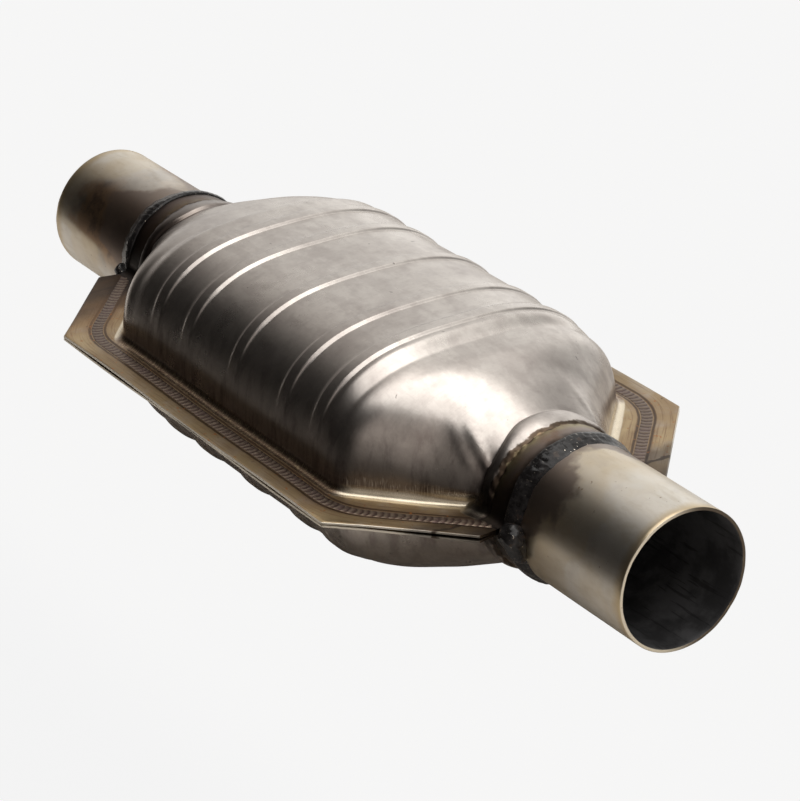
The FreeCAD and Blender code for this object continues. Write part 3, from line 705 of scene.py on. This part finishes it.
class Recipe:
    """Lays out one node tree, node by node."""

    def __init__(self, tree):
        self.tree = tree
        tree.nodes.clear()

    def feed(self, socket, value):
        """Gives a socket a link, a colour, a vector or a number."""
        if isinstance(value, Signal):
            self.tree.links.new(value.socket, socket)
        elif socket.type == "RGBA":
            socket.default_value = (*value, 1.0)
        else:
            socket.default_value = value

    def node(self, kind, settings=None, inputs=None, output=0):
        """A node with its settings and inputs, as the signal of one output."""
        made = self.tree.nodes.new(kind)
        for name, value in (settings or {}).items():
            setattr(made, name, value)
        for name, value in (inputs or {}).items():
            self.feed(made.inputs[name], value)
        return Signal(self, made.outputs[output])

    def mix(self, share, first, second):
        """First colour, turning to the second by share."""
        return self.node("ShaderNodeMix", {"data_type": "RGBA"}, {0: share, 6: first, 7: second}, 2)

    def coats(self, base, *coats):
        """A base colour under coats of other colours, each laid on by its share."""
        for share, coat in coats:
            base = self.mix(share, base, coat)
        return base

    def mark(self, name):
        """A value stored on the mesh."""
        return self.node("ShaderNodeAttribute", {"attribute_name": name}, output="Fac")

    def parts(self, vector):
        """The three numbers of a vector."""
        outputs = self.node("ShaderNodeSeparateXYZ", inputs={0: vector}).socket.node.outputs
        return tuple(Signal(self, output) for output in outputs)

    def bump(self, height, depth, under=None):
        """A normal from a height, depth millimetres deep."""
        inputs = {"Height": height, "Strength": 1.0, "Distance": depth * MM}
        if under is not None:
            inputs["Normal"] = under
        return self.node("ShaderNodeBump", None, inputs)


class Finish(Recipe):
    """A material with one Principled shader, its constants and the place in millimetres."""

    def __init__(self, name, constants):
        self.material = bpy.data.materials.new(name)
        self.material.use_nodes = True
        super().__init__(self.material.node_tree)
        self.shader = self.tree.nodes.new("ShaderNodeBsdfPrincipled")
        output = self.tree.nodes.new("ShaderNodeOutputMaterial")
        self.tree.links.new(self.shader.outputs[0], output.inputs[0])
        self.dress(constants)
        spot = self.node("ShaderNodeTexCoord", output="Object")
        self.place = self.node("ShaderNodeVectorMath", {"operation": "SCALE"},
                               {0: spot, "Scale": 1 / MM})

    def dress(self, values):
        """Gives the shader's sockets their values, and returns the material."""
        for socket, value in values.items():
            self.feed(self.shader.inputs[socket], value)
        return self.material

    def done(self, skin, rough, normal, **more):
        """The material, with what varies over its surface."""
        return self.dress({"Base Color": skin, "Roughness": rough, "Normal": normal, **more})


def pressed_sheet_finish(colours):
    """Pressed sheet: cloudy grey can, gold flange with a scorched seam, burnt necks with painted shade
    low beside them, and painted highlights along the cones' feet and the cut edge.
    """
    steel = Finish("pressed sheet", {"Metallic": 1.0})
    place = steel.place
    x, y, z = steel.parts(place)
    reach, rise = abs(x), abs(z)
    flange = steel.mark("on_flange").rise(0.3, 0.9)
    across, along = steel.mark("seam_across"), steel.mark("seam_along")
    broad = place.clouds(60.0, 4.0, 0.6)
    patch = place.clouds(17.0, 5.0, 0.62)
    grain = place.clouds(1.3, 4.0, 0.6)
    pits = place.clouds(3.0, 1.0, 0.4).rise(0.79, 0.83)
    drawn = place.stretched(1.4, 0.07, 0.07).clouds(1.0, 3.0, 0.6)
    drips = place.stretched(0.16, 0.16, 0.035).clouds(1.0, 5.0, 0.65)
    smear = place.stretched(0.035, 0.11, 0.11).clouds(1.0, 4.0, 0.6)
    lines = place.stretched(3.0, 3.0, 0.03).clouds(1.0, 1.0, 0.7)
    burr = place.stretched(1.6, 0.6, 0.6).clouds(1.0, 3.0).rise(0.45, 0.7)
    low = rise.fall(8.0, 40.0)
    cone = reach.rise(92.0, 98.0)
    height = rise + (place.stretched(1.0, 1.0, 0.1).clouds(2.5, 2.0) - 0.5) * 8.0
    hair = lines.rise(0.54, 0.60) * height.fall(7.0, 9.5) * cone
    sheet = steel.coats(
        colours.sheet,
        (broad.rise(0.42, 0.66) * 0.55 + patch.rise(0.48, 0.72) * 0.45, colours.sheet_dull),
        (drawn.rise(0.5, 0.75) * 0.22 + grain.rise(0.5, 0.7) * 0.15, colours.sheet_dull),
        (low * 0.25, colours.brown),
        (drips.rise(0.42, 0.66) * (0.15 + low * 0.5), (0.15, 0.115, 0.11)),
        (smear.rise(0.50, 0.58) * 0.30, colours.sheet_dull),
        (hair * 0.75, (0.85, 0.81, 0.75)),
        # Painted highlight: a pale gold band along the foot of each cone, just above the bend.
        (rise.fall(4.0, 6.0) * cone * 0.6, (0.92, 0.80, 0.58)),
        (rise.fall(3.2, 5.0) * (1 - cone) * 0.8, steel.mix(burr, colours.brown, colours.straw)))
    beside = abs(across)
    wander = (place.clouds(6.0, 3.0) - 0.5) * 1.6
    streaks = steel.node("ShaderNodeCombineXYZ", None, {0: across * 1.3, 1: along * 0.05})
    flat = steel.coats(
        colours.straw,
        (patch.rise(0.45, 0.75) * 0.6, colours.sheet),
        (0.15 + broad.rise(0.40, 0.62) * 0.45, colours.brown),
        (streaks.clouds(1.0, 3.0, 0.6).rise(0.48, 0.68) * 0.55, colours.brown),
        ((beside + wander * 2.0).fall(2.5, 9.0) * 0.45, colours.brown),
        ((beside + wander * 0.4).hill(3.3, 3.8, 0.7) * 0.85, (0.05, 0.028, 0.018)),
        (x.fall(-128.0, -96.0) * 0.45, (0.26, 0.135, 0.05)),
        (abs(y).rise(84.0, 88.0) * reach.fall(70.0, 110.0) * 0.5, (0.15, 0.10, 0.05)),
        (place.clouds(2.4, 2.0, 0.5).rise(0.66, 0.74) * 0.8, colours.rust))
    ragged = reach + (place.clouds(5.0, 4.0) - 0.5) * 5.0
    heated = ragged.rise(147.0, 150.5) * (1 - flange * 0.75)
    tints = steel.coats(colours.olive, (ragged.rise(149.0, 156.0), colours.violet),
                        (patch.rise(0.45, 0.6) * 0.7, colours.brown))
    burnt = (x + (patch - 0.5) * 16.0).fall(-134.0, -118.0) * (1 - z.rise(26.0, 40.0) * 0.6)
    # Painted shade: the necks turn near black low down beside the flange, round the pinch.
    soot_and_shade = (rise + (patch - 0.5) * 14.0).fall(9.0, 27.0) * ragged.rise(134.0, 144.0)
    skin = steel.coats(
        steel.mix(flange, sheet, flat),
        # The cut edge: pale bare metal, lightened further as a painted highlight.
        (steel.mark("trim").rise(0.05, 0.6) * 0.8, (0.80, 0.76, 0.68)),
        (heated * 0.92, tints),
        (ragged.hill(148.2, 149.6, 0.8) * 0.9, (0.07, 0.045, 0.03)),
        (burnt * 0.85, steel.mix(broad.rise(0.4, 0.6), (0.12, 0.065, 0.03), (0.045, 0.027, 0.02))),
        # Painted shade low on the necks, laid in the scale colour.
        (soot_and_shade * (0.93 - flange * 0.35), colours.scale),
        (ragged.rise(155.5, 160.5) * (0.9 - flange * 0.5), colours.scale),
        (pits * 0.55, colours.scale))
    rough = 0.15 + broad * 0.12 + patch * 0.12 + flange * 0.10 + heated * 0.08 + hair * 0.1
    shallow = steel.bump(drawn * 0.5 + grain * 0.6 - pits * 1.2, 0.024)
    return steel.done(skin, rough + grain * 0.05, steel.bump(patch, 0.10, shallow))


def seam_finish():
    """Ladder of rolled seam nuggets: brown crests, darker hollows."""
    steel = Finish("rolled seam", {"Metallic": 1.0})
    patch = steel.place.clouds(12.0, 4.0, 0.6)
    grain = steel.place.clouds(0.9, 3.0, 0.6)
    skin = steel.coats((0.085, 0.055, 0.045),
                       (steel.mark("nugget").rise(0.25, 0.95), (0.20, 0.155, 0.12)),
                       (patch.rise(0.50, 0.70) * 0.35, (0.16, 0.11, 0.11)))
    return steel.done(skin, 0.34 + grain * 0.16, steel.bump(grain, 0.05))


def pipe_finish(name, colours, heat_end, heat_share, side):
    """Drawn tube: silver beige, burnt brown by the weld and straw gold near the rim, with the rim's lip
    painted pale on one side as a highlight and dark on the other as shade.
    """
    steel = Finish(name, {"Metallic": 1.0})
    place = steel.place
    x, y, z = steel.parts(place)
    reach = x * side
    broad = place.clouds(42.0, 4.0, 0.6)
    patch = place.clouds(13.0, 4.0, 0.6)
    grain = place.clouds(1.1, 4.0, 0.6)
    rings = place.stretched(2.4, 0.05, 0.05).clouds(1.0, 3.0, 0.6)
    smear = place.stretched(0.4, 1.0, 1.0).clouds(8.0, 4.0, 0.65)
    wander = (reach + (broad - 0.5) * 44.0 + (patch - 0.5) * 22.0
              - z.hill(8.0, 25.0, 8.0) * 30.0 * heat_share)
    burn = wander.fall(heat_end - 16.0, heat_end + 4.0) * heat_share * z.rise(-14.0, 6.0)
    burnt = steel.mix(patch.rise(0.42, 0.6), (0.26, 0.15, 0.075), (0.10, 0.05, 0.025))
    edge = reach + (patch - 0.5) * 7.0
    # Painted highlight and shade on the rim's lip: pale towards -y, near black towards +y.
    rim = steel.mix(y.rise(-14.0, 10.0), (0.80, 0.73, 0.60), (0.07, 0.055, 0.045))
    skin = steel.coats(
        colours.pipe,
        (broad.rise(0.4, 0.65) * 0.45, colours.straw),
        (patch.rise(0.5, 0.75) * 0.3, colours.sheet_dull),
        (smear.rise(0.45, 0.7) * 0.32, (0.36, 0.29, 0.19)),
        (burn * (1 - z.rise(25.0, 31.0) * 0.7), burnt),
        (wander.hill(heat_end - 2.0, heat_end + 14.0, 8.0) * 0.3, colours.straw),
        (wander.fall(WELD_TOE - 1, WELD_TOE + 7) * 0.8, colours.violet),
        (edge.rise(PIPE_END - 7.0, PIPE_END - 1.0) * 0.75, colours.straw),
        # Painted highlight and shade on the lip (rim above).
        (reach.rise(PIPE_END - 0.4, PIPE_END - 0.1) * 0.9, rim),
        (place.clouds(2.0, 2.0, 0.5).rise(0.72, 0.77) * 0.6, colours.brown))
    rough = 0.22 + broad * 0.1 + smear * 0.08 + rings * 0.06 + grain * 0.04
    return steel.done(skin, rough, steel.bump(rings * 0.6 + grain * 0.4, 0.018))


def bore_finish(colours):
    """Sooty inside of a pipe with long drag scratches."""
    bore = Finish("pipe bore", {"Metallic": 0.4})
    soot_and_shade = bore.place.clouds(20.0, 5.0, 0.65)
    drag = bore.place.stretched(0.035, 0.5, 0.3).clouds(1.0, 3.0, 0.6)
    skin = bore.coats(colours.bore, (soot_and_shade.rise(0.40, 0.62), (0.11, 0.11, 0.114)),
                      (drag.rise(0.58, 0.64) * 0.6, (0.014, 0.013, 0.013)))
    return bore.done(skin, 0.42 + soot_and_shade * 0.25, bore.bump(soot_and_shade + drag, 0.06))


def weld_finish(colours, name, rough):
    """Glassy near-black weld skin with small bright facets."""
    weld = Finish(name, {"Coat Roughness": 0.06, "Coat Weight": 0.22, "Specular IOR Level": 0.2})
    patch = weld.place.clouds(5.0, 4.0, 0.6)
    grain = weld.place.clouds(0.8, 3.0, 0.6)
    spark = weld.place.stretched(0.5, 1.0, 1.0).clouds(0.8, 1.0, 0.6).rise(0.72, 0.75)
    skin = weld.coats(colours.weld, (patch.rise(0.45, 0.65), (0.026, 0.024, 0.024)),
                      (patch.rise(0.6, 0.7) * 0.4, (0.07, 0.04, 0.022)),
                      (spark, (0.62, 0.56, 0.48)))
    return weld.done(skin, rough + patch * 0.18, weld.bump(patch * 0.6 + grain * 0.4, 0.16),
                     Metallic=0.1 + spark * 0.9)


def ceramic_finish(colours):
    """Honeycomb ceramic: fine square cells, their pits painted near black as shade, between pale webs.
    """
    brick = Finish("honeycomb ceramic", {"Metallic": 0.0})
    _, y, z = brick.parts(brick.place)
    half_cell = 0.635
    # Painted shade: each cell's pit is near black.
    shaded_pit = y.fold(half_cell).rise(0.10, 0.2) * z.fold(half_cell).rise(0.10, 0.2)
    dust = brick.place.clouds(9.0, 4.0, 0.6)
    skin = brick.coats(colours.ceramic, (dust.rise(0.4, 0.7) * 0.5, (0.40, 0.35, 0.28)),
                       (shaded_pit * 0.93, (0.03, 0.028, 0.025)))
    return brick.done(skin, 0.85 + dust * 0.1, brick.bump(1 - shaded_pit, 0.4))


def fibre_finish(colours):
    """Pressed mineral fibre: tangled pale strands."""
    mat = Finish("mineral fibre", {"Metallic": 0.0})
    strands = mat.place.stretched(1.0, 0.25, 0.25).clouds(0.8, 5.0, 0.7, 1.2)
    flecks = mat.place.clouds(2.2, 2.0).rise(0.62, 0.68)
    skin = mat.coats(colours.fibre, (strands, (0.45, 0.41, 0.33)), (flecks * 0.6, (0.30, 0.22, 0.12)))
    return mat.done(skin, 0.9 + strands * 0.08, mat.bump(strands, 0.3))


def wire_finish(colours):
    """Knitted wire: crossing loops of bright wire, with painted shade in the dark gaps between them."""
    knit = Finish("knitted wire", {"Metallic": 1.0})
    x, y, z = knit.parts(knit.place)
    loop = 0.7
    strand = 1 - (x + z).fold(loop).rise(0.12, 0.3) * (x - z + y).fold(loop).rise(0.12, 0.3)
    # Painted shade: the gaps between the loops are near black.
    skin = knit.mix(strand, (0.05, 0.05, 0.05), colours.wire)
    return knit.done(skin, 0.6 - strand * 0.25, knit.bump(strand, 0.3))


class CONVERTER_OT_shells(bpy.types.Operator):
    """Press both sheet halves of the can"""
    bl_idname = "converter.shells"
    bl_label = "Press shells"

    def execute(self, context):
        sizes = context.scene.converter_sizes
        form, finish = CanForm(sizes), pressed_sheet_finish(context.scene.converter_colours)
        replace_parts(press_shell("upper_shell_pressing", form, sizes, 11, True, finish), "upper_shell")
        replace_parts(press_shell("lower_shell_pressing", form, sizes, 23, False, finish), "lower_shell")
        return {"FINISHED"}


class CONVERTER_OT_seam(bpy.types.Operator):
    """Lay the weld nuggets in the rolled seam of both flanges"""
    bl_idname = "converter.seam"
    bl_label = "Roll seam"

    def execute(self, context):
        finish = seam_finish()
        lay_seam("upper_seam_nuggets", context.scene.converter_sizes, True, finish)
        lay_seam("lower_seam_nuggets", context.scene.converter_sizes, False, finish)
        return {"FINISHED"}


class CONVERTER_OT_pipes(bpy.types.Operator):
    """Draw the two pipe stubs"""
    bl_idname = "converter.pipes"
    bl_label = "Draw pipe stubs"

    def execute(self, context):
        sizes, colours = context.scene.converter_sizes, context.scene.converter_colours
        bore = bore_finish(colours)
        near = pipe_finish("outlet pipe steel", colours, 176.0, 0.45, 1)
        far = pipe_finish("inlet pipe steel", colours, 202.0, 0.9, -1)
        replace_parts(draw_pipe("outlet_stub", sizes, 1, 51, near, bore), "outlet_pipe")
        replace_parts(draw_pipe("inlet_stub", sizes, -1, 57, far, bore), "inlet_pipe")
        return {"FINISHED"}


class CONVERTER_OT_ring_welds(bpy.types.Operator):
    """Lay the ring weld round each pipe"""
    bl_idname = "converter.ring_welds"
    bl_label = "Lay ring welds"

    def execute(self, context):
        sizes = context.scene.converter_sizes
        finish = weld_finish(context.scene.converter_colours, "ring weld skin", 0.16)
        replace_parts(lay_ring_weld("outlet_weld_bead", sizes, 1, 61, finish), "outlet_ring_weld")
        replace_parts(lay_ring_weld("inlet_weld_bead", sizes, -1, 71, finish), "inlet_ring_weld")
        return {"FINISHED"}


class CONVERTER_OT_corner_welds(bpy.types.Operator):
    """Drop a lump of weld metal into each corner of flange, neck and pipe"""
    bl_idname = "converter.corner_welds"
    bl_label = "Drop corner welds"

    def execute(self, context):
        finish = weld_finish(context.scene.converter_colours, "corner weld skin", 0.10)
        seed = 81
        for end, side, share in (("inlet", -1, FAR_LUMP_SHARE), ("outlet", 1, 1.0)):
            for hand in ("left", "right"):
                node = f"{end}_{hand}_corner_weld"
                across = math.copysign(1, sum(corner.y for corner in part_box(node)))
                lump = drop_lump(f"{end}_{hand}_weld_lump", side, across, seed, share, finish)
                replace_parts(lump, node)
                seed += 2
        return {"FINISHED"}


class CONVERTER_OT_filling(bpy.types.Operator):
    """Finish the bricks, mats and wire seals inside the can"""
    bl_idname = "converter.filling"
    bl_label = "Finish inside pieces"

    def execute(self, context):
        colours = context.scene.converter_colours
        finishes = {"brick": ceramic_finish(colours), "mat": fibre_finish(colours),
                    "seal": wire_finish(colours)}
        for name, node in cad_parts.items():
            finish = finishes.get(name.rsplit("_", 1)[-1])
            if finish and not node.material_slots:
                node.data.materials.append(finish)
            elif finish:
                for holder in node.material_slots:
                    holder.material = finish
        return {"FINISHED"}


class CONVERTER_OT_stage(bpy.types.Operator):
    """Set out the pale floor, the soft lights and the camera"""
    bl_idname = "converter.stage"
    bl_label = "Set stage"

    def execute(self, context):
        scene = context.scene
        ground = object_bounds()[0][2] / MM - FLOOR_GAP
        backdrop = make_backdrop(ground, backdrop_finish(scene.converter_studio))
        backdrop.visible_glossy = backdrop.visible_diffuse = backdrop.visible_shadow = False
        floor = make_floor(ground, floor_finish(scene.converter_colours))
        floor.visible_camera = False
        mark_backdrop(backdrop, floor)
        softbox = bpy.data.lights.new("overhead softbox", "AREA")
        softbox.shape = "RECTANGLE"
        softbox.size, softbox.size_y = SOFTBOX_SIZE
        softbox.energy = scene.converter_studio.overhead
        softbox.color = (1.0, 0.985, 0.965)
        lamp = add_object("overhead softbox", softbox)
        lamp.location = SOFTBOX_PLACE
        lamp.visible_camera = False
        scene.world = surround(scene.converter_studio)
        scene.camera = photograph_camera()
        scene.view_settings.view_transform = "Standard"
        scene.view_settings.look = "None"
        return {"FINISHED"}


def floor_finish(colours):
    """Matt pale floor with a faint mottle, and painted shade in front: dark where the near flank mirrors
    it.
    """
    floor = Finish("studio floor", {"Metallic": 0.0, "Roughness": 0.9})
    mottle = floor.place.clouds(300.0, 2.0)
    sheet = floor.mix(mottle * 0.2, colours.floor, [0.96 * part for part in colours.floor])
    lit = floor.parts(floor.place)[1].rise(-215.0, -135.0)
    return floor.dress({"Base Color": floor.mix(lit, (0.025, 0.022, 0.02), sheet)})


def backdrop_finish(studio):
    """Pale backdrop that is partly lit from within, so shadows on it stay faint."""
    return Finish("studio backdrop", {
        "Metallic": 0.0, "Roughness": 1.0, "Base Color": (0.10, 0.10, 0.10),
        "Emission Color": (1.0, 1.0, 1.0), "Emission Strength": studio.backdrop,
        "Specular IOR Level": 0.0}).material


def make_backdrop(ground, finish):
    """A round floor that curves up into a wall all round."""
    flat = np.linspace(0.05, 0.72, 12) * BACKDROP_RADIUS
    curve = np.linspace(0, TAU / 4, 14)[1:]
    bend = 0.28 * BACKDROP_RADIUS
    out = np.concatenate([flat, flat[-1] + bend * np.sin(curve), [BACKDROP_RADIUS]])
    up = np.concatenate([np.zeros(12), bend * (1 - np.cos(curve)), [BACKDROP_RADIUS]])
    angle = full_turn(STAGE_SEGMENTS)
    grid = grid_of(out[:, None] * np.cos(angle), out[:, None] * np.sin(angle), up[:, None] + ground)
    faces = grid_faces(len(out), STAGE_SEGMENTS, wrap=True).tolist()
    faces.append(list(range(STAGE_SEGMENTS))[::-1])
    return add_object("backdrop", new_mesh("backdrop", grid.reshape(-1, 3), faces, [finish]))


def make_floor(ground, finish):
    """A flat floor with rounded corners."""
    angle = full_turn(STAGE_SEGMENTS)
    size = FLOOR_HALF / (np.abs(np.cos(angle)) ** 6 + np.abs(np.sin(angle)) ** 6) ** (1 / 6)
    points = grid_of(size * np.cos(angle), size * np.sin(angle), ground)
    return add_object("floor", new_mesh("floor", points, [range(STAGE_SEGMENTS)], [finish]))


def surround(studio):
    """Soft surround: bright behind and above, dark low in front."""
    world = bpy.data.worlds.new("studio surround")
    world.use_nodes = True
    recipe = Recipe(world.node_tree)
    x, y, z = recipe.parts(recipe.node("ShaderNodeTexCoord", output="Generated"))
    behind = (y * 0.85 - x * 0.53).rise(0.80, 1.0) * 0.3
    middle = y.rise(-0.38, 0.72) * (1 - x.rise(-0.5, 0.1) * 0.75)
    right = x.rise(0.2, 0.7) * 0.35
    above = z.rise(0.60, 0.90) * y.rise(-0.25, 0.35) * 0.7
    front = (x * 0.75 - y * 0.55 + z * 0.37).rise(0.70, 1.0) * z.rise(0.1, 0.5) * 0.35
    glow = (behind + middle + right + above + front + 0.017) * studio.sky
    tint = recipe.mix(y.rise(-0.3, 0.6), (0.98, 0.90, 0.84), (1.0, 0.985, 0.96))
    light = recipe.node("ShaderNodeBackground", None, {0: tint, 1: glow})
    output = recipe.tree.nodes.new("ShaderNodeOutputWorld")
    recipe.tree.links.new(light.socket, output.inputs[0])
    return world


def photograph_camera():
    """The camera at the photograph's place, turn and lens."""
    azimuth, elevation = CAMERA_AZIMUTH, CAMERA_ELEVATION
    back = Vector((math.sin(azimuth) * math.cos(elevation), -math.cos(azimuth) * math.cos(elevation),
                   math.sin(elevation)))
    right = Vector((0, 0, 1)).cross(back).normalized()
    over = back.cross(right)
    across = math.cos(CAMERA_ROLL) * right + math.sin(CAMERA_ROLL) * over
    upward = -math.sin(CAMERA_ROLL) * right + math.cos(CAMERA_ROLL) * over
    lens = bpy.data.cameras.new("photograph camera")
    lens.sensor_fit = "VERTICAL"
    lens.sensor_width = lens.sensor_height = SENSOR
    lens.lens = CAMERA_FOCAL * SENSOR / IMAGE_HEIGHT
    lens.clip_end = 20.0
    camera = add_object("photograph camera", lens)
    turn = Matrix((across, upward, back)).transposed().to_4x4()
    camera.matrix_world = Matrix.Translation(CAMERA_PLACE) @ turn
    return camera


class CONVERTER_PT_panel(bpy.types.Panel):
    """Lists the steps that dress the converter"""
    bl_idname = "CONVERTER_PT_panel"
    bl_label = "Converter"
    bl_space_type = "VIEW_3D"
    bl_region_type = "UI"
    bl_category = "Converter"

    def draw(self, context):
        for step in STEPS:
            self.layout.operator(step.bl_idname)
        for name in GROUPS:
            box, group = self.layout.box(), getattr(context.scene, name)
            for value in group.__annotations__:
                box.prop(group, value)


STEPS = (CONVERTER_OT_shells, CONVERTER_OT_seam, CONVERTER_OT_pipes, CONVERTER_OT_ring_welds,
         CONVERTER_OT_corner_welds, CONVERTER_OT_filling, CONVERTER_OT_stage)
GROUPS = {"converter_sizes": ConverterSizes, "converter_colours": ConverterColours,
          "converter_studio": ConverterStudio}


def register():
    """Registers the settings, the steps and the panel."""
    for name, group in GROUPS.items():
        bpy.utils.register_class(group)
        setattr(bpy.types.Scene, name, PointerProperty(type=group))
    for kind in (*STEPS, CONVERTER_PT_panel):
        bpy.utils.register_class(kind)


def unregister():
    """Removes the panel, the steps and the settings."""
    for kind in (CONVERTER_PT_panel, *reversed(STEPS)):
        bpy.utils.unregister_class(kind)
    for name, group in GROUPS.items():
        delattr(bpy.types.Scene, name)
        bpy.utils.unregister_class(group)


def main():
    """Dresses the whole converter."""
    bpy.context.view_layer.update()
    register()
    bpy.ops.converter.shells()
    bpy.ops.converter.seam()
    bpy.ops.converter.pipes()
    bpy.ops.converter.ring_welds()
    bpy.ops.converter.corner_welds()
    bpy.ops.converter.filling()
    bpy.ops.converter.stage()


if __name__ == "__main__":
    main()
